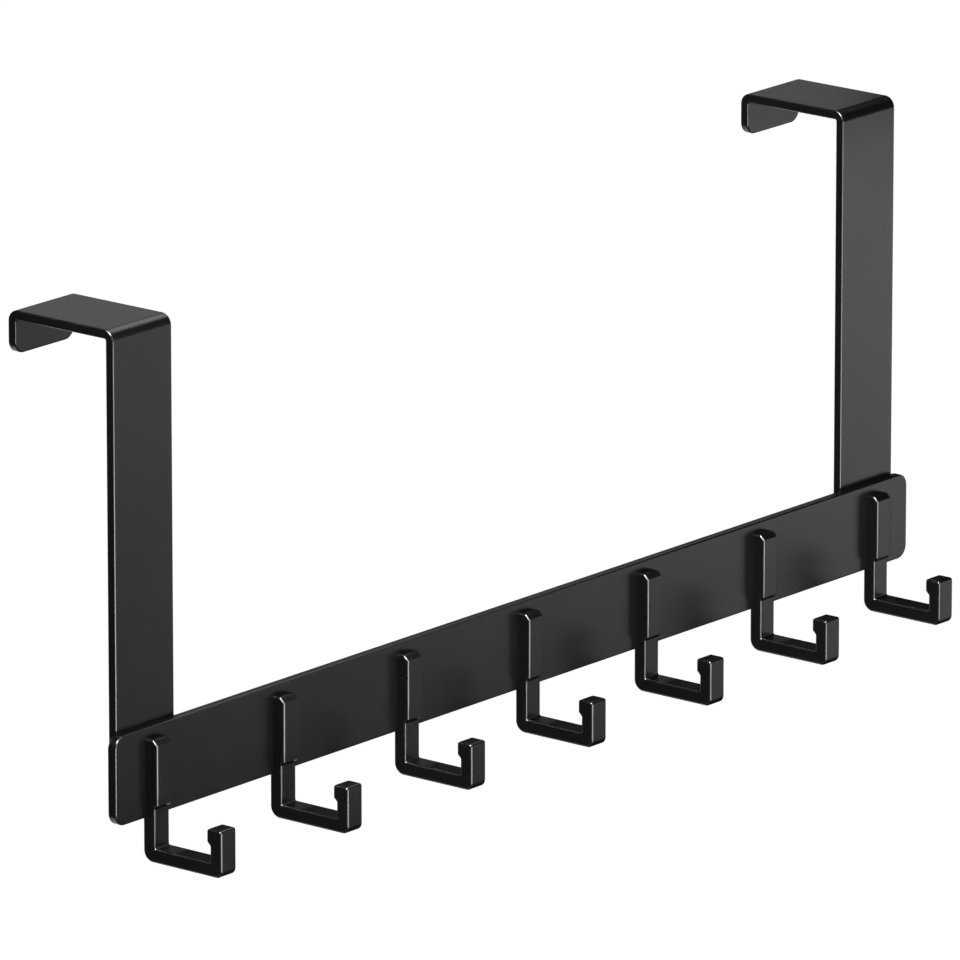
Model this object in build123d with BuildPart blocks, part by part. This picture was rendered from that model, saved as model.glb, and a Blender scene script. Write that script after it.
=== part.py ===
"""Over-door hook: a flat rail with seven hooks, carried by two bent straps.

The straps lie over the top of a door and run down behind the rail, which hangs in front of the
door.  X runs along the rail, -Y is the front, +Z is up.  The origin is on the door's top front
edge, midway between the straps: the door fills Y from 0 to door_gap, below Z = 0.  Millimetres.
"""
from build123d import *
import os

os.makedirs("parts", exist_ok=True)

# Rail: a flat bar with rounded corners
rail_length = 430.0
rail_height = 31.0
rail_thickness = 3.6
rail_corner_radius = 4.6
rail_edge_radius = 0.6

# Straps: flat bars bent twice, over the door's top and down its back
door_gap = 39.3
strap_width = 29.8
strap_thickness = 3.3
strap_bend_radius = 0.6
strap_edge_radius = 0.6
strap_centre_inset = 19.3
strap_foot_inset = 3.0
strap_foot_radius = 3.0
lip_depth = 11.9
lip_corner_radius = 4.4
drop_to_rail_bottom = 165.5

# Hooks: a mounting pad on the rail's face, then a bar that steps back, down, out and up
hook_count = 7
hook_width = 8.0
hook_edge_radius = 0.9
pad_thickness = 4.8
pad_top_inset = 3.5
pad_top_chamfer = 1.7
pad_front_bottom = 4.8
bar_thickness = 5.0
bar_setback = 1.5
hook_drop = 15.1
hook_reach = 32.6
tip_height = 16.5
tip_top_radius = 1.0
heel_radius = 4.0
toe_radius = 2.6
throat_radius = 0.5
nub_depth = 1.4
nub_height = 4.5

# Screws: small countersunk screws put in from behind, two for each hook
screw_radius = 1.5
screw_head_radius = 2.85
screw_socket_width = 2.0
screw_socket_depth = 1.0
screw_tip_chamfer = 0.3
screw_spacing = 14.0
thread_engagement = 3.0
thread_run_out = 0.4
thread_clearance = 0.05
screw_hole_clearance = 0.2
countersink_clearance = 0.1

# Planes and levels that the pieces share
rail_back = -strap_thickness
rail_front = rail_back - rail_thickness
rail_bottom = -drop_to_rail_bottom
rail_top = rail_bottom + rail_height
rail_middle = (rail_bottom + rail_top) / 2
strap_x = rail_length / 2 - strap_centre_inset
hook_pitch = 2 * strap_x / (hook_count - 1)
hook_places = [-strap_x + i * hook_pitch for i in range(hook_count)]
screw_levels = [rail_middle - screw_spacing / 2, rail_middle + screw_spacing / 2]
screw_head_height = screw_head_radius - screw_radius
sink_angle = 90.0
same_place = 0.01


def screw_points(places):
    """Screw positions, across and up, for the hooks at these places."""
    return [(x, level) for x in places for level in screw_levels]


# Seen from behind, X runs the other way: these planes face the door, with Z up
def door_side_plane(y):
    return Plane(origin=(0, y, 0), x_dir=(-1, 0, 0), z_dir=(0, 1, 0))


def seen_from_behind(points):
    return [(-x, z) for x, z in points]


strap_screw_points = screw_points([hook_places[0], hook_places[-1]])
hook_screw_points = screw_points(hook_places[1:-1])
clearance_hole_radius = screw_radius + screw_hole_clearance
countersink_radius = screw_head_radius + countersink_clearance

# The rail, with countersinks behind the middle hooks and plain holes behind the straps' hooks
with BuildPart() as rail:
    with BuildSketch(Plane.XZ.offset(-rail_back)):
        with Locations((0, rail_middle)):
            RectangleRounded(rail_length, rail_height, rail_corner_radius)
    extrude(amount=rail_thickness)
    fillet(rail.faces().filter_by(Axis.Y).edges(), rail_edge_radius)
    with Locations(door_side_plane(rail_back)):
        with Locations(*seen_from_behind(hook_screw_points)):
            CounterSinkHole(clearance_hole_radius, countersink_radius, rail_thickness, sink_angle)
        with Locations(*seen_from_behind(strap_screw_points)):
            Hole(clearance_hole_radius, rail_thickness)
rail.part.label = "rail"
export_step(rail.part, "parts/rail.step")

# The two straps: one side outline, bent at both top corners, carried across the width
strap_foot = rail_bottom + strap_foot_inset
strap_outer_bend = strap_bend_radius + strap_thickness
strap_places = {"left_strap": -strap_x, "right_strap": strap_x}
for strap_name, x in strap_places.items():
    with BuildPart() as strap:
        with BuildSketch(Plane.YZ.offset(x)):
            with BuildLine():
                Polyline(
                    (0, strap_foot),
                    (-strap_thickness, strap_foot),
                    (-strap_thickness, strap_thickness),
                    (door_gap + strap_thickness, strap_thickness),
                    (door_gap + strap_thickness, -lip_depth),
                    (door_gap, -lip_depth),
                    (door_gap, 0),
                    (0, 0),
                    close=True,
                )
            make_face()
            fillet(vertices().group_by(Axis.Y)[-1], strap_outer_bend)
            fillet(vertices().filter_by(lambda v: abs(v.Y) < strap_bend_radius / 2), strap_bend_radius)
        extrude(amount=strap_width / 2, both=True)
        end_corners = strap.edges().filter_by(Axis.Y)
        lip_corners = end_corners.filter_by(lambda e: abs(e.center().Z + lip_depth) < same_place)
        fillet(lip_corners, lip_corner_radius)
        end_corners = strap.edges().filter_by(Axis.Y)
        fillet(end_corners.group_by(Axis.Z)[0], strap_foot_radius)
        rims = strap.faces().filter_by(Axis.X).edges().filter_by(Axis.Y, reverse=True)
        fillet(rims, strap_edge_radius)
        with Locations(door_side_plane(0)):
            with Locations(*seen_from_behind(screw_points([x]))):
                CounterSinkHole(clearance_hole_radius, countersink_radius, strap_thickness, sink_angle)
    strap.part.label = strap_name
    export_step(strap.part, f"parts/{strap_name}.step")

# The hooks: one side outline carried across the bar's width, all edges softened but those on the rail
pad_front = rail_front - pad_thickness
pad_top = rail_top - pad_top_inset
bar_back = rail_front + bar_setback
bar_front = bar_back - bar_thickness
step_top = rail_bottom + pad_front_bottom
step_bottom = step_top - (bar_front - pad_front)
arm_bottom = rail_bottom - hook_drop
arm_top = arm_bottom + bar_thickness
tip_front = rail_front - hook_reach
tip_back = tip_front + bar_thickness
tip_top = arm_bottom + tip_height
nub_back = tip_back + nub_depth
nub_bottom = tip_top - nub_height
for number, x in enumerate(hook_places, start=1):
    with BuildPart() as hook:
        with BuildSketch(Plane.YZ.offset(x)):
            with BuildLine():
                Polyline(
                    (rail_front, pad_top),
                    (rail_front, rail_bottom),
                    (bar_back, rail_bottom),
                    (bar_back, arm_bottom),
                    (tip_front, arm_bottom),
                    (tip_front, tip_top),
                    (nub_back, tip_top),
                    (nub_back, nub_bottom),
                    (tip_back, nub_bottom - nub_depth),
                    (tip_back, arm_top),
                    (bar_front, arm_top),
                    (bar_front, step_bottom),
                    (pad_front, step_top),
                    (pad_front, pad_top - pad_top_chamfer),
                    (pad_front + pad_top_chamfer, pad_top),
                    close=True,
                )
            make_face()
            fillet(vertices().group_by(Axis.Y)[0].sort_by(Axis.X)[0], toe_radius)
            fillet(vertices().group_by(Axis.Y)[0].sort_by(Axis.X)[-1], heel_radius)
            tip_corners = vertices().filter_by(lambda v: abs(v.Y - tip_top) < same_place)
            fillet(tip_corners.sort_by(Axis.X)[:2], tip_top_radius)
            throat_corners = vertices().filter_by(lambda v: abs(v.Y - arm_top) < same_place)
            fillet(throat_corners, throat_radius)
        extrude(amount=hook_width / 2, both=True)
        rims = hook.faces().filter_by(Axis.X).edges()
        rims = rims.filter_by(lambda e: abs(e.center().Y - rail_front) > same_place)
        rims = rims.filter_by(lambda e: abs(e.center().Z - rail_bottom) > same_place)
        fillet(rims, hook_edge_radius)
        with Locations(door_side_plane(rail_front)):
            with Locations(*seen_from_behind(screw_points([x]))):
                Hole(screw_radius + thread_clearance, thread_engagement + thread_run_out)
    hook.part.label = f"hook_{number}"
    export_step(hook.part, f"parts/hook_{number}.step")

# The screws: the middle hooks' screws sit in the rail, the end hooks' longer ones in the straps
screw_sets = {
    "hook_screws": (rail_back, rail_thickness, hook_screw_points),
    "strap_screws": (0, strap_thickness + rail_thickness, strap_screw_points),
}
for set_name, (head_face, gripped, points) in screw_sets.items():
    screw_length = gripped + thread_engagement
    with BuildPart() as screws:
        for x, z in points:
            with BuildSketch(Plane(origin=(x, head_face, z), x_dir=(1, 0, 0), z_dir=(0, 0, 1))):
                with BuildLine():
                    Polyline(
                        (0, 0),
                        (screw_head_radius, 0),
                        (screw_radius, -screw_head_height),
                        (screw_radius, screw_tip_chamfer - screw_length),
                        (screw_radius - screw_tip_chamfer, -screw_length),
                        (0, -screw_length),
                        close=True,
                    )
                make_face()
            revolve(axis=Axis((x, head_face, z), (0, 1, 0)))
        with BuildSketch(door_side_plane(head_face)):
            with Locations(*seen_from_behind(points)):
                RegularPolygon(screw_socket_width / 2, 6, major_radius=False)
        extrude(amount=-screw_socket_depth, mode=Mode.SUBTRACT)
    screws.part.label = set_name
    export_step(screws.part, f"parts/{set_name}.step")
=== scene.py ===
"""Over-door hook: a flat steel rail with seven hooks on two bent straps, in a black satin coat.

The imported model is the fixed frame. Each of its pieces is made again here as a smooth surface of
the same size in the same place: the rail and the straps are rounded plates with their screw holes,
each hook is an outline carried across the bar's width, and the screws are turned.  Metres, with X
along the rail, -Y the front and +Z up; the door's top front edge is Y = 0, Z = 0.
"""

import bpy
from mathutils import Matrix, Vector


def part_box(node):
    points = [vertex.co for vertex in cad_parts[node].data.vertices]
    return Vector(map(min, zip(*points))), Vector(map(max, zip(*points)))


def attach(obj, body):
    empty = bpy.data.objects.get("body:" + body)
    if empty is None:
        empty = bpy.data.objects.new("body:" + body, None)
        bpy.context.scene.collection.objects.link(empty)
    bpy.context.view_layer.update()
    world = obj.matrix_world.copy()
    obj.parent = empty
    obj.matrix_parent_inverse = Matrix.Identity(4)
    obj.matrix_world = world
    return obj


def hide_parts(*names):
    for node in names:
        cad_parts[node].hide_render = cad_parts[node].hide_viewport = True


bl_info = {
    "name": "Over-Door Hook Rail",
    "version": (1, 0, 0),
    "blender": (4, 5, 0),
    "location": "3D View > Sidebar > Hook Rail",
    "description": "Builds the coated surfaces, the screws and the studio of an over-door hook rail",
    "category": "Add Mesh",
}

import math

import bpy
import numpy as np
from bpy.props import FloatProperty, FloatVectorProperty, PointerProperty
from bpy.types import Operator, Panel, PropertyGroup
from mathutils import Matrix, Vector
from mathutils.geometry import tessellate_polygon

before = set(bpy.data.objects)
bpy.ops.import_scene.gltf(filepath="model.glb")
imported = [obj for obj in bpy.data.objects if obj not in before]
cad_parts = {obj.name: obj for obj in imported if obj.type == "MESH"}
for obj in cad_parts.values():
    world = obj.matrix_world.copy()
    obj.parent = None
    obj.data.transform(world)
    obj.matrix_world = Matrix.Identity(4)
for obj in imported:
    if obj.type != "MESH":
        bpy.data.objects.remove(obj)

# Fixed numbers: the photograph's frame, the steps that each curve is cut into, and small limits
MM = 0.001
PHOTO_WIDTH = 960
SENSOR_WIDTH = 36.0
RIM_STEPS = 6
CORNER_STEPS = 12
FOOT_STEPS = 8
BEND_STEPS = 16
CIRCLE_STEPS = 48
THREAD_STEPS = 8
SCREEN_STEPS = 16
SHARP_DEGREES = 35
GRAIN_FINENESS = 5
LEAST_RADIUS = 0.04 * MM
LEAST_SPREAD = 1e-9
THREAD_START = 0.3 * MM
HOOK_NAMES = [f"hook_{number}" for number in range(1, 8)]
STRAP_NAMES = ["left_strap", "right_strap"]


# Sizes and colours that a user may change

def length(name, description, millimetres):
    """A length whose default is given in millimetres."""
    return FloatProperty(name=name, description=description, default=millimetres * MM, min=0.0,
                         precision=5, subtype="DISTANCE", unit="LENGTH")


def share(name, description, default):
    """A number from 0 to 1."""
    return FloatProperty(name=name, description=description, default=default, min=0.0, max=1.0,
                         subtype="FACTOR")


def colour(name, description, default):
    """A plain colour without alpha."""
    return FloatVectorProperty(name=name, description=description, default=default, min=0.0,
                               max=1.0, size=3, subtype="COLOR")


class RailSizes(PropertyGroup):
    corner_radius: length("Corner radius", "Radius of the rail's four corners", 4.6)
    edge_radius: length("Edge radius", "Rounding of the rail's rims", 0.6)


class StrapSizes(PropertyGroup):
    bend_radius: length("Bend radius", "Inner radius of the two bends over the door", 0.6)
    edge_radius: length("Edge radius", "Rounding of the straps' rims", 0.6)
    foot_radius: length("Foot radius", "Radius of the corners behind the rail", 3.0)
    lip_radius: length("Lip radius", "Radius of the lip's two corners", 4.4)
    lip_depth: length("Lip depth", "How far the lip hangs down behind the door", 11.9)


class HookSizes(PropertyGroup):
    edge_radius: length("Edge radius", "Rounding along both sides of the bar", 0.9)
    corner_softness: length("Corner softness", "Rounding of the corners between flat stretches", 0.3)
    pad_thickness: length("Pad thickness", "How far the pad stands out from the rail", 4.8)
    pad_chamfer: length("Pad chamfer", "Chamfer at the pad's top front edge", 1.7)
    pad_foot: length("Pad foot", "Height of the pad's lower front edge above the rail's bottom", 4.8)
    bar_thickness: length("Bar thickness", "Thickness of the bar below the pad", 5.0)
    tip_height: length("Tip height", "Height of the tip over the bar's underside", 16.5)
    tip_radius: length("Tip radius", "Rounding of the tip's two top corners", 1.0)
    heel_radius: length("Heel radius", "Radius where the bar turns forward", 4.0)
    toe_radius: length("Toe radius", "Radius where the bar turns up", 2.6)
    throat_radius: length("Throat radius", "Radius of the two inner corners", 0.5)
    nub_depth: length("Nub depth", "How far the nub stands out behind the tip", 1.4)
    nub_height: length("Nub height", "Height of the nub's upright side", 4.5)


class ScrewSizes(PropertyGroup):
    shank_radius: length("Shank radius", "Radius of the screws' shanks", 1.5)
    head_radius: length("Head radius", "Radius of the countersunk heads", 2.85)
    spacing: length("Spacing", "Distance between the two screws of a hook", 14.0)
    socket_width: length("Socket width", "Width of the hexagon socket across its flats", 2.0)
    socket_depth: length("Socket depth", "Depth of the hexagon socket", 1.0)
    tip_chamfer: length("Tip chamfer", "Chamfer at the screw's end", 0.3)
    thread_pitch: length("Thread pitch", "Distance from one turn of the thread to the next", 0.5)
    thread_depth: length("Thread depth", "Depth of the thread's groove", 0.25)
    hole_clearance: length("Hole clearance", "Room around the shank in a clearance hole", 0.2)
    thread_clearance: length("Thread clearance", "Room around the shank in a tapped hole", 0.05)
    sink_clearance: length("Countersink clearance", "Room around the head", 0.1)
    run_out: length("Run-out", "Depth of a tapped hole past the screw's end", 0.4)


class CoatLook(PropertyGroup):
    dark: colour("Dark", "Colour of the coat where it is darkest", (0.0040, 0.0043, 0.0043))
    light: colour("Light", "Colour of the coat where it is lightest", (0.0050, 0.0053, 0.0053))
    roughness: share("Roughness", "Mean roughness of the coat", 0.26)
    unevenness: share("Unevenness", "How far the roughness varies over the coat", 0.05)
    cloud_size: length("Cloud size", "Size of the slow drift in colour and gloss", 45.0)
    peel_size: length("Peel size", "Size of the coat's fine waves", 1.4)
    peel_depth: length("Peel depth", "Height of the coat's fine waves", 0.002)
    grain: share("Grain", "Share of a five times finer grain in those waves", 0.2)


class ScrewLook(PropertyGroup):
    tint: colour("Tint", "Colour of the blackened steel", (0.10, 0.10, 0.105))
    roughness: share("Roughness", "Mean roughness of the blackened steel", 0.36)
    unevenness: share("Unevenness", "How far the roughness varies over the steel", 0.06)
    shade: share("Shade", "How light the darker patches are beside the tint", 0.75)
    mottle_size: length("Mottle size", "Size of the patches", 0.8)


class StudioSetup(PropertyGroup):
    floor_drop: length("Floor drop", "How far the floor lies below the door's top edge", 1200.0)
    floor_size: length("Floor size", "Side of the square floor", 40000.0)
    floor_colour: colour("Floor colour", "Colour of the pale floor", (0.80, 0.80, 0.80))
    floor_glow: share("Floor glow", "How white the floor shows to the camera and in reflections", 0.93)
    surround_light: share("Surround light", "How strongly the white surround lights the object", 0.05)


class HookRailSettings(PropertyGroup):
    rail: PointerProperty(type=RailSizes, name="Rail")
    strap: PointerProperty(type=StrapSizes, name="Straps")
    hook: PointerProperty(type=HookSizes, name="Hooks")
    screw: PointerProperty(type=ScrewSizes, name="Screws")
    coat: PointerProperty(type=CoatLook, name="Coat")
    screw_look: PointerProperty(type=ScrewLook, name="Screw finish")
    studio: PointerProperty(type=StudioSetup, name="Studio")


# Shader nodes

class Value:
    """A node's output. Arithmetic on it adds the Math nodes that work the result out."""

    def __init__(self, bench, socket):
        self.bench = bench
        self.socket = socket

    def _math(self, operation, first, second):
        return self.bench.node("ShaderNodeMath", {"operation": operation}, {0: first, 1: second})

    def __add__(self, other):
        return self._math("ADD", self, other)

    def __sub__(self, other):
        return self._math("SUBTRACT", self, other)

    def __rsub__(self, other):
        return self._math("SUBTRACT", other, self)

    def __mul__(self, other):
        return self._math("MULTIPLY", self, other)

    def maximum(self, other):
        return self._math("MAXIMUM", self, other)

    __radd__ = __add__
    __rmul__ = __mul__


class Bench:
    """The node tree of one material or of the world."""

    def __init__(self, owner):
        owner.use_nodes = True
        self.tree = owner.node_tree
        self.tree.nodes.clear()

    def node(self, kind, settings=None, inputs=None, output=0):
        """A node of this type. Its settings are set first, then each socket gets its value or link."""
        made = self.tree.nodes.new(kind)
        for name, value in (settings or {}).items():
            setattr(made, name, value)
        for key, value in (inputs or {}).items():
            if isinstance(value, Value):
                self.tree.links.new(value.socket, made.inputs[key])
            else:
                made.inputs[key].default_value = value
        return Value(self, made.outputs[output]) if made.outputs else None

    def noise(self, place, size, detail=2.0):
        """Noise from 0 to 1 whose cells have this size in metres."""
        return self.node("ShaderNodeTexNoise", None,
                         {"Vector": place, "Scale": 1.0 / size, "Detail": detail}, "Fac")

    def blend(self, factor, first, second):
        """The first colour where the factor is 0, and the second where it is 1.

        A Mix node's colours are its inputs 6 and 7, and the mixed colour is its output 2.
        """
        return self.node("ShaderNodeMix", {"data_type": "RGBA"},
                         {0: factor, 6: (*first, 1.0), 7: (*second, 1.0)}, 2)


def new_material(name):
    """An empty material and its bench."""
    made = bpy.data.materials.new(name)
    return made, Bench(made)


def coat_material(look):
    """Satin black coat: nearly black, a little uneven in gloss, with the fine waves of a sprayed coat."""
    made, bench = new_material("satin black coat")
    place = bench.node("ShaderNodeTexCoord", output="Object")
    cloud = bench.noise(place, look.cloud_size, detail=3.0)
    waves = bench.noise(place, look.peel_size)
    grain = bench.noise(place, look.peel_size / GRAIN_FINENESS)
    height = waves * (1 - look.grain) + grain * look.grain
    relief = bench.node("ShaderNodeBump", None,
                        {"Strength": 1.0, "Distance": look.peel_depth, "Height": height}, "Normal")
    surface = bench.node("ShaderNodeBsdfPrincipled", None, {
        "Base Color": bench.blend(cloud, look.dark, look.light),
        "Roughness": (cloud - 0.5) * (2 * look.unevenness) + look.roughness,
        "Normal": relief,
    })
    bench.node("ShaderNodeOutputMaterial", None, {"Surface": surface})
    return made


def screw_material(look):
    """Blackened steel: a dark metal with a soft, slightly mottled gloss."""
    made, bench = new_material("blackened screw steel")
    place = bench.node("ShaderNodeTexCoord", output="Object")
    mottle = bench.noise(place, look.mottle_size, detail=3.0)
    shade = [look.shade * part for part in look.tint]
    surface = bench.node("ShaderNodeBsdfPrincipled", None, {
        "Base Color": bench.blend(mottle, shade, look.tint),
        "Roughness": mottle * (2 * look.unevenness) + (look.roughness - look.unevenness),
        "Metallic": 1.0,
    })
    bench.node("ShaderNodeOutputMaterial", None, {"Surface": surface})
    return made


def shared_material(context, slot):
    """The material of a slot, made the first time a piece asks for it."""
    settings = context.scene.hook_rail
    known = {"coated_steel": ("satin black coat", coat_material, settings.coat),
             "screw_steel": ("blackened screw steel", screw_material, settings.screw_look)}
    name, make, look = known[slot]
    return bpy.data.materials.get(name) or make(look)


# Surfaces

class Shell:
    """One closed skin: points kept as a whole array, and faces kept as point numbers."""

    def __init__(self):
        self.points = np.empty((0, 3))
        self.faces = []

    def add(self, points):
        """Appends an array of points and returns their numbers in the same arrangement."""
        first = len(self.points)
        self.points = np.vstack([self.points, points.reshape(-1, 3)])
        return first + np.arange(points.size // 3).reshape(points.shape[:-1])

    def band(self, rings, leave_out=None):
        """Quads from each ring to the next, closed around, apart from one (ring, place) pair."""
        after = np.roll(rings, -1, axis=1)
        quads = np.stack([rings[:-1], after[:-1], after[1:], rings[1:]], axis=-1)
        wanted = np.ones(quads.shape[:2], bool)
        if leave_out:
            wanted[leave_out] = False
        self.faces += quads[wanted].tolist()

    def cap(self, ring):
        """One flat face on a ring."""
        self.faces.append(ring.tolist())

    def panel(self, border, holes, outward):
        """A flat face with holes, cut into triangles that all look outward."""
        loops = [border, *holes]
        numbers = np.concatenate(loops)
        cut = np.array(tessellate_polygon([[Vector(p) for p in self.points[loop]] for loop in loops]))
        corners = self.points[numbers[cut]]
        facing = np.cross(corners[:, 1] - corners[:, 0], corners[:, 2] - corners[:, 0]) @ np.array(outward)
        cut[facing < 0] = cut[facing < 0][:, ::-1]
        self.faces += numbers[cut].tolist()


def outline_ring(corners, inset=0.0):
    """Points of a closed outline with rounded corners, drawn in by an inset.

    Each row of corners is (a, b, radius, points, rolled), anticlockwise. An edge that is rolled
    moves inwards by the inset, one that isn't stays, and neighbouring edges meet in a new corner.
    The arc there runs from one edge's normal to the next: a point is the corner, plus the radius
    times the sum of both normals over one plus their product, less the radius times the normal at
    that point's share of the turn.
    """
    table = np.asarray(corners, float)
    corner, radius, count, rolled = table[:, :2], table[:, 2], table[:, 3].astype(int), table[:, 4]
    along = np.roll(corner, -1, axis=0) - corner
    along /= np.linalg.norm(along, axis=1, keepdims=True)
    after = np.stack([-along[:, 1], along[:, 0]], axis=1)
    before = np.roll(after, 1, axis=0)
    cosine = np.sum(before * after, axis=1)
    sine = before[:, 0] * after[:, 1] - before[:, 1] * after[:, 0]
    turn = np.arctan2(sine, cosine)
    drop_after = inset * rolled
    drop_before = np.roll(drop_after, 1)
    both = np.minimum(drop_before, drop_after)
    rest_before, rest_after = drop_before - both, drop_after - both
    spread = np.maximum(1 - cosine ** 2, LEAST_SPREAD)
    moved = (corner + (before + after) * (both / (1 + cosine))[:, None]
             + before * ((rest_before - cosine * rest_after) / spread)[:, None]
             + after * ((rest_after - cosine * rest_before) / spread)[:, None])
    bend = np.sign(turn)
    reach = np.maximum(radius - bend * both, LEAST_RADIUS) * bend * (count > 1)
    which = np.repeat(np.arange(len(table)), count)
    place = np.arange(len(which)) - np.repeat(np.cumsum(count) - count, count)
    first_angle = np.arctan2(before[:, 1], before[:, 0])
    angle = first_angle[which] + turn[which] * place / np.maximum(count - 1, 1)[which]
    normal = np.stack([np.cos(angle), np.sin(angle)], axis=1)
    centre = moved + (before + after) * (reach / (1 + cosine))[:, None]
    return centre[which] - normal * reach[which][:, None]


def rolled_rings(corners, width, edge_radius):
    """Rings of an outline carried across a width, with both rims rolled by a quarter circle.

    At an angle of the quarter circle the ring is drawn in by the edge radius times one minus its
    sine, and lies the edge radius times one minus its cosine away from the side face.
    """
    angle = np.linspace(0, math.pi / 2, RIM_STEPS + 1)
    inset = edge_radius * (1 - np.sin(angle))
    depth = edge_radius * (1 - np.cos(angle))
    insets = np.concatenate([inset, inset[::-1]])
    depths = np.concatenate([depth, width - depth[::-1]])
    rings = [outline_ring(corners, one) for one in insets]
    levels = [np.full((len(ring), 1), level) for ring, level in zip(rings, depths)]
    return np.stack([np.hstack(pair) for pair in zip(rings, levels)])


def hole_rings(centre, profile):
    """Rings of a round hole about a line through a centre (a, b), from a profile of (radius, depth)."""
    angle = np.linspace(0, 2 * math.pi, CIRCLE_STEPS, endpoint=False)
    circle = np.stack([np.cos(angle), np.sin(angle)], axis=1)
    return np.stack([np.column_stack([np.asarray(centre) + radius * circle,
                                      np.full(CIRCLE_STEPS, depth)]) for radius, depth in profile])


def plate_shell(corners, thickness, edge_radius, first_run, holes):
    """A rounded plate with holes, flat: a across, b along, and the depth from its door side.

    The outline is the same on both sides of the middle, so each flat face is a ladder of quads
    between a right-hand point and its mirror image. The rung after first_run holds the holes.
    """
    shell = Shell()
    rings = shell.add(rolled_rings(corners, thickness, edge_radius))
    shell.band(rings)
    bores = [shell.add(hole_rings(centre, profile)) for centre, profile in holes]
    for bore in bores:
        shell.band(bore[:, ::-1])
    for ring, end, outward in ((rings[0], 0, -1), (rings[-1], -1, 1)):
        half = len(ring) // 2
        right, left = ring[:half], ring[::-1][:half]
        ladder = np.stack([right[:-1], right[1:], left[1:], left[:-1]], axis=-1)
        shell.panel(ladder[first_run], [bore[end] for bore in bores], (0, 0, outward))
        ladder = np.delete(ladder, first_run, axis=0)
        shell.faces += ladder[:, ::outward].tolist()
    return shell


def finish_piece(context, name, node, slot, shell, place):
    """Puts a shell's points in place, makes it a smooth mesh and lets it stand for its node."""
    mesh = bpy.data.meshes.new(name)
    mesh.from_pydata(place(shell.points), [], shell.faces)
    mesh.validate()
    mesh.polygons.foreach_set("use_smooth", np.ones(len(mesh.polygons), bool))
    mesh.set_sharp_from_angle(angle=math.radians(SHARP_DEGREES))
    mesh.materials.append(shared_material(context, slot))
    piece = bpy.data.objects.new(name, mesh)
    context.scene.collection.objects.link(piece)
    flats = piece.modifiers.new("Flat faces stay flat", "WEIGHTED_NORMAL")
    flats.keep_sharp = True
    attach(piece, "root")
    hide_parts(node)
    return piece


# Places that the pieces share, read from the frame

def screw_levels(settings):
    """The heights of the two rows of screws."""
    low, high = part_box("rail")
    middle = (low.z + high.z) / 2
    return middle - settings.screw.spacing / 2, middle + settings.screw.spacing / 2


def middle_x(node):
    """Where a node's middle is along the rail."""
    low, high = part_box(node)
    return (low.x + high.x) / 2


def countersink(screw, thickness):
    """Profile of a countersunk clearance hole through a plate, from its door side."""
    wide = screw.head_radius + screw.sink_clearance
    narrow = screw.shank_radius + screw.hole_clearance
    return [(wide, 0.0), (narrow, wide - narrow), (narrow, thickness)]


def plain_hole(screw, thickness):
    """Profile of a plain clearance hole through a plate."""
    narrow = screw.shank_radius + screw.hole_clearance
    return [(narrow, 0.0), (narrow, thickness)]


class HOOK_RAIL_OT_rail(Operator):
    """Build the flat rail, with rounded corners, rolled rims and its screw holes"""
    bl_idname = "hook_rail.rail"
    bl_label = "Rail"

    def execute(self, context):
        settings = context.scene.hook_rail
        low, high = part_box("rail")
        thickness = high.y - low.y
        half, tall = (high.x - low.x) / 2, high.z - low.z
        radius = settings.rail.corner_radius
        corners = [(a, b, radius, CORNER_STEPS + 1, 1)
                   for a, b in ((half, 0), (half, tall), (-half, tall), (-half, 0))]
        holes = []
        for node in HOOK_NAMES:
            made = plain_hole if node in (HOOK_NAMES[0], HOOK_NAMES[-1]) else countersink
            for level in screw_levels(settings):
                holes.append(((middle_x(node), level - low.z), made(settings.screw, thickness)))
        shell = plate_shell(corners, thickness, settings.rail.edge_radius, CORNER_STEPS, holes)

        def place(points):
            return np.column_stack([points[:, 0], high.y - points[:, 2], low.z + points[:, 1]])

        finish_piece(context, "rail_coated", "rail", "coated_steel", shell, place)
        return {"FINISHED"}


def fold_over_door(points, middle, foot, over, bend):
    """Carries a flat plate up the door's front, over its top and down its back.

    The distance along the plate is spent in turn on the run up, a quarter circle of the bend
    radius, the run over the door, a second quarter circle and the run down. The plate's depth is
    then laid off square to that line, away from the door.
    """
    across, along, depth = points.T
    quarter = bend * math.pi / 2
    up_end = -bend - foot
    over_start = up_end + quarter
    over_end = over_start + over - 2 * bend
    first = np.clip((along - up_end) / bend, 0, math.pi / 2)
    second = np.clip((along - over_end) / bend, 0, math.pi / 2)
    run_up = np.minimum(along, up_end)
    run_over = np.clip(along - over_start, 0, over - 2 * bend)
    run_down = np.maximum(along - over_end - quarter, 0)
    turned = first + second
    y = bend * (1 - np.cos(first)) + run_over + bend * np.sin(second) - depth * np.cos(turned)
    z = (foot + run_up + bend * np.sin(first) - bend * (1 - np.cos(second)) - run_down
         + depth * np.sin(turned))
    return np.column_stack([middle + across, y, z])


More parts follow.
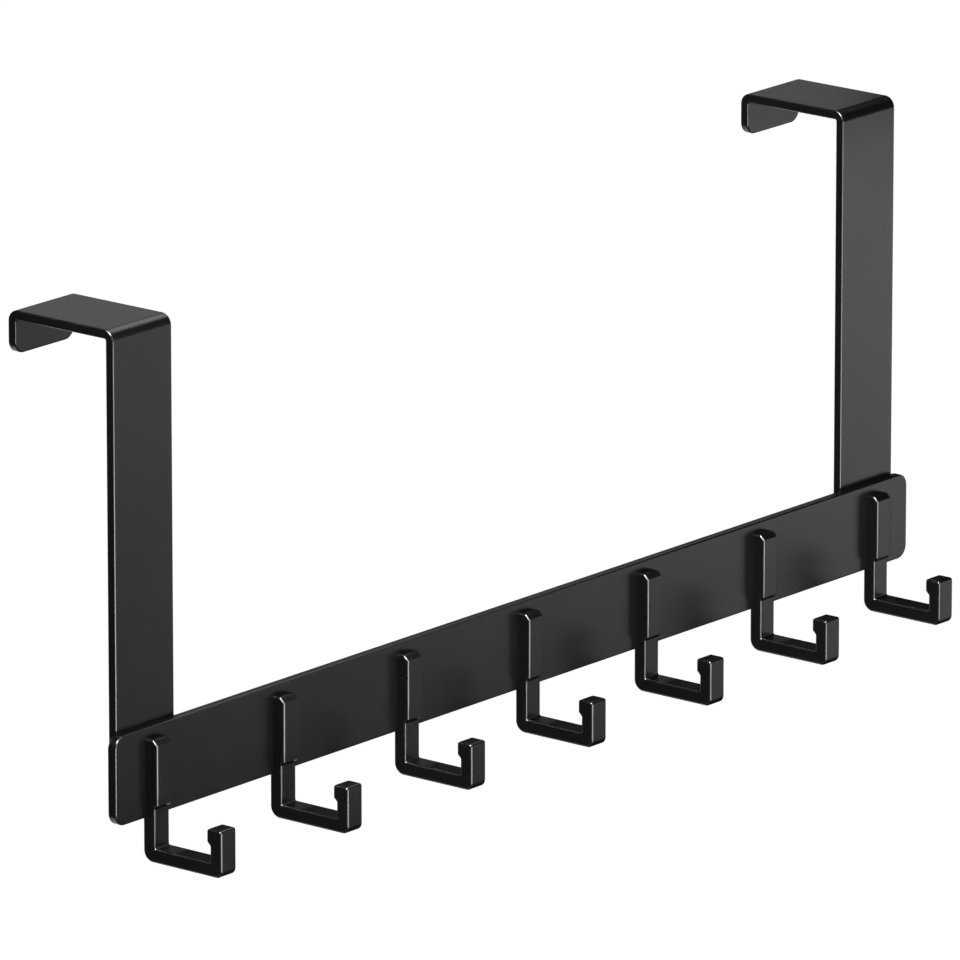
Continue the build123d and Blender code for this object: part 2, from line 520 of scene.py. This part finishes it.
class HOOK_RAIL_OT_straps(Operator):
    """Build the two straps, bent over the door, with rolled rims and countersunk holes"""
    bl_idname = "hook_rail.straps"
    bl_label = "Straps"

    def execute(self, context):
        settings = context.scene.hook_rail
        strap = settings.strap
        for node in STRAP_NAMES:
            low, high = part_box(node)
            thickness, half = high.z, (high.x - low.x) / 2
            over = high.y - thickness
            bend = strap.bend_radius
            quarter = bend * math.pi / 2
            first_bend = -bend - low.z
            second_bend = first_bend + quarter + over - 2 * bend
            end = second_bend + quarter + strap.lip_depth - bend
            turning = np.linspace(0, quarter, BEND_STEPS + 1)
            rungs = [(half, b, 0.0, 1, 1) for start in (first_bend, second_bend) for b in start + turning]
            foot_corner = (half, 0.0, strap.foot_radius, FOOT_STEPS + 1, 1)
            lip_corner = (half, end, strap.lip_radius, CORNER_STEPS + 1, 1)
            right = [foot_corner, *rungs, lip_corner]
            corners = right + [(-a, *rest) for a, *rest in right[::-1]]
            holes = [((0.0, level - low.z), countersink(settings.screw, thickness))
                     for level in screw_levels(settings)]
            shell = plate_shell(corners, thickness, strap.edge_radius, FOOT_STEPS, holes)
            middle = middle_x(node)

            def place(points):
                return fold_over_door(points, middle, low.z, over, bend)

            finish_piece(context, f"{node}_coated", node, "coated_steel", shell, place)
        return {"FINISHED"}


def hook_corners(hook, low, high, rail_low):
    """The hook's side outline, anticlockwise seen from +X: (y, z, radius, points, rolled edge after)."""
    rail_front, rail_bottom = rail_low.y, rail_low.z
    pad_front = rail_front - hook.pad_thickness
    bar_front = high.y - hook.bar_thickness
    step_top = rail_bottom + hook.pad_foot
    step_bottom = step_top - (bar_front - pad_front)
    arm_top = low.z + hook.bar_thickness
    tip_back = low.y + hook.bar_thickness
    tip_top = low.z + hook.tip_height
    nub_back = tip_back + hook.nub_depth
    nub_bottom = tip_top - hook.nub_height
    soft = hook.corner_softness
    return [
        (pad_front + hook.pad_chamfer, high.z, soft, 5, 1),
        (pad_front, high.z - hook.pad_chamfer, soft, 5, 1),
        (pad_front, step_top, soft, 5, 1),
        (bar_front, step_bottom, soft, 5, 1),
        (bar_front, arm_top, hook.throat_radius, 7, 1),
        (tip_back, arm_top, hook.throat_radius, 7, 1),
        (tip_back, nub_bottom - hook.nub_depth, soft, 5, 1),
        (nub_back, nub_bottom, soft, 5, 1),
        (nub_back, tip_top, hook.tip_radius, 9, 1),
        (low.y, tip_top, hook.tip_radius, 9, 1),
        (low.y, low.z, hook.toe_radius, 13, 1),
        (high.y, low.z, hook.heel_radius, 17, 1),
        (high.y, rail_bottom, 0.0, 1, 0),
        (rail_front, rail_bottom, 0.0, 1, 0),
        (rail_front, high.z, 0.0, 1, 1),
    ]


class HOOK_RAIL_OT_hooks(Operator):
    """Build the seven hooks, each with its pad, its shoulder, its nub and two tapped holes"""
    bl_idname = "hook_rail.hooks"
    bl_label = "Hooks"

    def execute(self, context):
        settings = context.scene.hook_rail
        rail_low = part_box("rail")[0]
        deep = rail_low.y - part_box("hook_screws")[0].y + settings.screw.run_out
        radius = settings.screw.shank_radius + settings.screw.thread_clearance
        for node in HOOK_NAMES:
            low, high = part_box(node)
            shell = Shell()
            corners = hook_corners(settings.hook, low, high, rail_low)
            rings = shell.add(rolled_rings(corners, high.x - low.x, settings.hook.edge_radius))
            last = rings.shape[1] - 1
            # The pad's back lies on the rail: it is left out here, and made below with its two holes
            shell.band(rings, leave_out=(RIM_STEPS, last - 1))
            shell.cap(rings[0][::-1])
            shell.cap(rings[-1])
            mouths = []
            for level in screw_levels(settings):
                centre = (level, middle_x(node) - low.x)
                circle = hole_rings(centre, [(radius, 0.0), (radius, deep)])
                across, up, deeper = circle[..., 1], circle[..., 0], circle[..., 2]
                bore = shell.add(np.stack([rail_low.y - deeper, up, across], axis=-1))
                shell.band(bore)
                shell.cap(bore[-1])
                mouths.append(bore[0])
            near, far = rings[RIM_STEPS], rings[RIM_STEPS + 1]
            border = np.array([near[last - 1], near[last], far[last], far[last - 1]])
            shell.panel(border, mouths, (1, 0, 0))

            def place(points):
                return np.column_stack([low.x + points[:, 2], points[:, 0], points[:, 1]])

            finish_piece(context, f"{node}_coated", node, "coated_steel", shell, place)
        return {"FINISHED"}


def screw_rings(screw, total):
    """Rings of one screw about its own axis, from the socket's floor out to the head, down to the tip.

    The socket is a hexagon: at an angle its radius is half its width over the cosine of the angle
    to the nearest flat. The thread is a groove whose depth follows a triangle wave of the depth
    over the pitch less the angle's share of a turn, and fades at both ends.
    """
    angle = np.linspace(0, 2 * math.pi, CIRCLE_STEPS, endpoint=False)
    to_flat = np.abs((angle % (math.pi / 3)) - math.pi / 6)
    hexagon = screw.socket_width / 2 / np.cos(to_flat)
    plain = np.ones(CIRCLE_STEPS)
    neck = screw.head_radius - screw.shank_radius
    start, stop = neck + THREAD_START, total - screw.tip_chamfer
    depths = np.linspace(start, stop, int((stop - start) / screw.thread_pitch * THREAD_STEPS))
    turns = depths[:, None] / screw.thread_pitch - angle / (2 * math.pi)
    groove = 1 - np.abs(2 * (turns % 1) - 1)
    fade = np.clip(np.minimum(depths - start, stop - depths) / screw.thread_pitch, 0, 1)[:, None]
    threaded = screw.shank_radius - screw.thread_depth * groove * fade
    radii = [hexagon, hexagon, plain * screw.head_radius, plain * screw.shank_radius, *threaded,
             plain * (screw.shank_radius - screw.tip_chamfer)]
    levels = [screw.socket_depth, 0.0, 0.0, neck, *depths, total]
    return np.stack([np.column_stack([radius * np.cos(angle), radius * np.sin(angle), level * plain])
                     for radius, level in zip(radii, levels)])


class HOOK_RAIL_OT_screws(Operator):
    """Turn the countersunk socket screws that hold the hooks from behind"""
    bl_idname = "hook_rail.screws"
    bl_label = "Screws"

    def execute(self, context):
        settings = context.scene.hook_rail
        groups = {"hook_screws": HOOK_NAMES[1:-1], "strap_screws": [HOOK_NAMES[0], HOOK_NAMES[-1]]}
        for node, held in groups.items():
            low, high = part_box(node)
            shell = Shell()
            one = screw_rings(settings.screw, high.y - low.y)
            for hook in held:
                for level in screw_levels(settings):
                    rings = shell.add(one + np.array([middle_x(hook), level, 0.0]))
                    shell.band(rings)
                    shell.cap(rings[0][::-1])
                    shell.cap(rings[-1])

            def place(points):
                return np.column_stack([points[:, 0], high.y - points[:, 2], points[:, 1]])

            finish_piece(context, f"{node}_blackened", node, "screw_steel", shell, place)
        return {"FINISHED"}


# Studio and camera

def towards(azimuth, elevation):
    """The direction to something seen at this azimuth, 0 at the front and 90 to +X, and elevation."""
    turn, rise = math.radians(azimuth), math.radians(elevation)
    return Vector((math.sin(turn) * math.cos(rise), -math.cos(turn) * math.cos(rise), math.sin(rise)))


def seen_directly(bench):
    """1 for the camera, and for what is seen in a reflection or through glass, and 0 for other light."""
    camera = bench.node("ShaderNodeLightPath", output="Is Camera Ray")
    glossy = bench.node("ShaderNodeLightPath", output="Is Glossy Ray")
    clear = bench.node("ShaderNodeLightPath", output="Is Transmission Ray")
    return camera.maximum(glossy).maximum(clear)


def glow_material():
    """A screen's light: it shines as strongly as the glow kept at the screen's own vertices."""
    made, bench = new_material("screen glow")
    level = bench.node("ShaderNodeAttribute", {"attribute_name": "glow"}, output="Fac")
    shine = bench.node("ShaderNodeEmission", None, {"Strength": level})
    bench.node("ShaderNodeOutputMaterial", None, {"Surface": shine})
    return made


def screen(context, name, corner, across, up, levels, for_reflections):
    """A flat screen: a point on it is the corner, plus a share of its foot, plus a share of its side.

    Its glow is one level, or goes evenly between four: lower left, lower right, upper left and
    upper right. The camera doesn't see it and it casts no shadow. One for reflections only, such
    as a dark flag, lights no matt surface either.
    """
    shares = np.linspace(0, 1, SCREEN_STEPS + 1)
    along, above = (grid[..., None] for grid in np.meshgrid(shares, shares))
    points = np.array(corner) + along * np.array(across) + above * np.array(up)
    low_left, low_right, high_left, high_right = np.broadcast_to(levels, 4)
    glow = ((low_left * (1 - along) + low_right * along) * (1 - above)
            + (high_left * (1 - along) + high_right * along) * above)
    numbers = np.arange(glow.size).reshape(glow.shape[:2])
    faces = np.stack([numbers[:-1, :-1], numbers[:-1, 1:], numbers[1:, 1:], numbers[1:, :-1]], axis=-1)
    mesh = bpy.data.meshes.new(name)
    mesh.from_pydata(points.reshape(-1, 3), [], faces.reshape(-1, 4).tolist())
    mesh.attributes.new("glow", "FLOAT", "POINT").data.foreach_set("value", glow.ravel())
    mesh.materials.append(bpy.data.materials.get("screen glow") or glow_material())
    made = bpy.data.objects.new(name, mesh)
    made.visible_camera = False
    made.visible_shadow = False
    made.visible_diffuse = made.visible_transmission = not for_reflections
    context.scene.collection.objects.link(made)


SCREENS = [
    # name, lower left corner, along its foot, up its side, glow, seen by reflections only
    ("front right screen", (0.55, -0.75, -0.48), (0.0, 0.60, 0.0), (0.0, 0.0, 0.38),
     (0.0, 0.0, 1.15, 1.95), False),
    ("high right screen", (0.55, -0.20, 0.40), (0.0, 1.0, 0.0), (0.0, 0.0, 0.6),
     (2.2, 1.2, 2.2, 1.2), False),
    ("low back screen", (0.10, 0.35, 0.08), (0.75, 0.0, 0.0), (0.0, 0.0, 0.5),
     (0.40, 0.24, 0.40, 0.24), False),
    ("left strip, outer", (-0.66, -0.84, -0.42), (0.20, -0.01, 0.0), (0.0, 0.0, 0.20),
     (8.0, 34.0, 4.0, 16.0), False),
    ("left strip, inner", (-0.46, -0.85, -0.42), (0.64, -0.04, 0.0), (0.0, 0.0, 0.20),
     (32.0, 18.0, 15.0, 8.0), False),
    ("far left strip", (-1.20, 0.0, -0.50), (0.109, -0.454, 0.0), (0.0, 0.0, 0.22), 6.0, False),
    ("high left panel", (-0.952, -0.003, 0.660), (0.161, -0.526, 0.0), (0.334, 0.102, 0.314), 110.0, True),
    ("right flag", (0.57, -0.90, -1.0), (0.0, 1.18, 0.0), (0.0, 0.0, 2.1), 0.0, True),
    ("low back flag", (0.12, 0.40, -0.15), (0.88, 0.0, 0.0), (0.0, 0.0, 0.23), 0.0, True),
    ("under flag", (-0.90, -1.40, -0.98), (1.50, 0.0, 0.0), (0.0, 1.80, 0.0), 0.0, True),
    ("high back flag", (-0.90, 0.61, 0.20), (1.30, 0.0, 0.0), (0.0, 0.0, 1.1), 0.0, True),
    ("left back flag", (-1.095, 0.185, -0.85), (0.697, 0.851, 0.0), (0.0, 0.0, 1.25), 0.055, True),
    ("left flag", (-0.903, -1.003, -0.95), (-0.367, 1.463, 0.0), (0.0, 0.0, 0.97), 0.0, True),
]


def fill_lamp(context):
    """A wide, weak lamp high at the front, which looks at the middle of the object."""
    azimuth, elevation, distance = 0.0, 60.0, 3.0
    size, radiance = 3.0, 0.3
    middle = Vector((0.0, 0.0, -0.10))
    lamp = bpy.data.lights.new("fill", "AREA")
    lamp.size = size
    lamp.energy = radiance * math.pi * size ** 2
    box = bpy.data.objects.new("fill", lamp)
    back = towards(azimuth, elevation)
    box.matrix_world = (-back).to_track_quat("-Z", "Y").to_matrix().to_4x4()
    box.location = middle + back * distance
    box.visible_camera = False
    context.scene.collection.objects.link(box)


def photograph_camera(context):
    """The photograph's camera: its long lens, its angle and where a known point lands in the frame."""
    azimuth, elevation, distance = -50.655, 15.406, 4.35296
    focal_length = 474.95
    point = Vector((0.0, -3.3 * MM, -145.5 * MM))
    point_column, point_row = 517.639, 629.580
    focal_pixels = focal_length / SENSOR_WIDTH * PHOTO_WIDTH
    back = towards(azimuth, elevation)
    right = Vector((math.cos(math.radians(azimuth)), math.sin(math.radians(azimuth)), 0.0))
    up = back.cross(right)
    aside = (point_column - PHOTO_WIDTH / 2) / focal_pixels * distance
    above = (point_row - PHOTO_WIDTH / 2) / focal_pixels * distance
    data = bpy.data.cameras.new("photograph camera")
    data.sensor_width = SENSOR_WIDTH
    data.lens = focal_length
    data.clip_start, data.clip_end = 0.1, 100.0
    camera = bpy.data.objects.new("photograph camera", data)
    camera.matrix_world = Matrix((right, up, back)).transposed().to_4x4()
    camera.location = point + back * distance - right * aside + up * above
    context.scene.collection.objects.link(camera)
    context.scene.camera = camera


class HOOK_RAIL_OT_studio(Operator):
    """Set the pale floor, the screens, the fill lamp, the white surround and the camera"""
    bl_idname = "hook_rail.studio"
    bl_label = "Studio"

    def execute(self, context):
        settings = context.scene.hook_rail.studio
        half, level = settings.floor_size / 2, -settings.floor_drop
        corners = [(-half, -half, level), (half, -half, level), (half, half, level), (-half, half, level)]
        mesh = bpy.data.meshes.new("floor")
        mesh.from_pydata(corners, [], [(0, 1, 2, 3)])
        floor = bpy.data.objects.new("floor", mesh)
        context.scene.collection.objects.link(floor)
        made, bench = new_material("pale floor")
        surface = bench.node("ShaderNodeBsdfPrincipled", None, {
            "Base Color": (*settings.floor_colour, 1.0),
            "Roughness": 0.9,
            "Emission Color": (1.0, 1.0, 1.0, 1.0),
            "Emission Strength": seen_directly(bench) * settings.floor_glow,
        })
        bench.node("ShaderNodeOutputMaterial", None, {"Surface": surface})
        mesh.materials.append(made)
        for row in SCREENS:
            screen(context, *row)
        fill_lamp(context)
        world = bpy.data.worlds.new("white surround")
        context.scene.world = world
        bench = Bench(world)
        strength = seen_directly(bench) * (1 - settings.surround_light) + settings.surround_light
        sky = bench.node("ShaderNodeBackground", None,
                         {"Color": (1.0, 1.0, 1.0, 1.0), "Strength": strength})
        bench.node("ShaderNodeOutputWorld", None, {"Surface": sky})
        photograph_camera(context)
        context.scene.view_settings.view_transform = "Standard"
        return {"FINISHED"}


class HOOK_RAIL_PT_sidebar(Panel):
    """Sizes, finishes and building steps of the hook rail"""
    bl_idname = "HOOK_RAIL_PT_sidebar"
    bl_label = "Hook Rail"
    bl_space_type = "VIEW_3D"
    bl_region_type = "UI"
    bl_category = "Hook Rail"

    def draw(self, context):
        settings = context.scene.hook_rail
        for group in settings.bl_rna.properties.keys():
            if group in ("rna_type", "name"):
                continue
            box = self.layout.box()
            box.label(text=settings.bl_rna.properties[group].name)
            values = getattr(settings, group)
            for name in values.bl_rna.properties.keys():
                if name not in ("rna_type", "name"):
                    box.prop(values, name)
        for operator in OPERATORS:
            self.layout.operator(operator.bl_idname)


OPERATORS = (HOOK_RAIL_OT_rail, HOOK_RAIL_OT_straps, HOOK_RAIL_OT_hooks, HOOK_RAIL_OT_screws,
             HOOK_RAIL_OT_studio)
GROUPS = (RailSizes, StrapSizes, HookSizes, ScrewSizes, CoatLook, ScrewLook, StudioSetup, HookRailSettings)
CLASSES = (*GROUPS, *OPERATORS, HOOK_RAIL_PT_sidebar)


def register():
    for one in CLASSES:
        bpy.utils.register_class(one)
    bpy.types.Scene.hook_rail = PointerProperty(type=HookRailSettings, name="Hook rail")


def unregister():
    del bpy.types.Scene.hook_rail
    for one in reversed(CLASSES):
        bpy.utils.unregister_class(one)


def main():
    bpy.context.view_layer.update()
    register()
    bpy.ops.hook_rail.rail()
    bpy.ops.hook_rail.straps()
    bpy.ops.hook_rail.hooks()
    bpy.ops.hook_rail.screws()
    bpy.ops.hook_rail.studio()


if __name__ == "__main__":
    main()
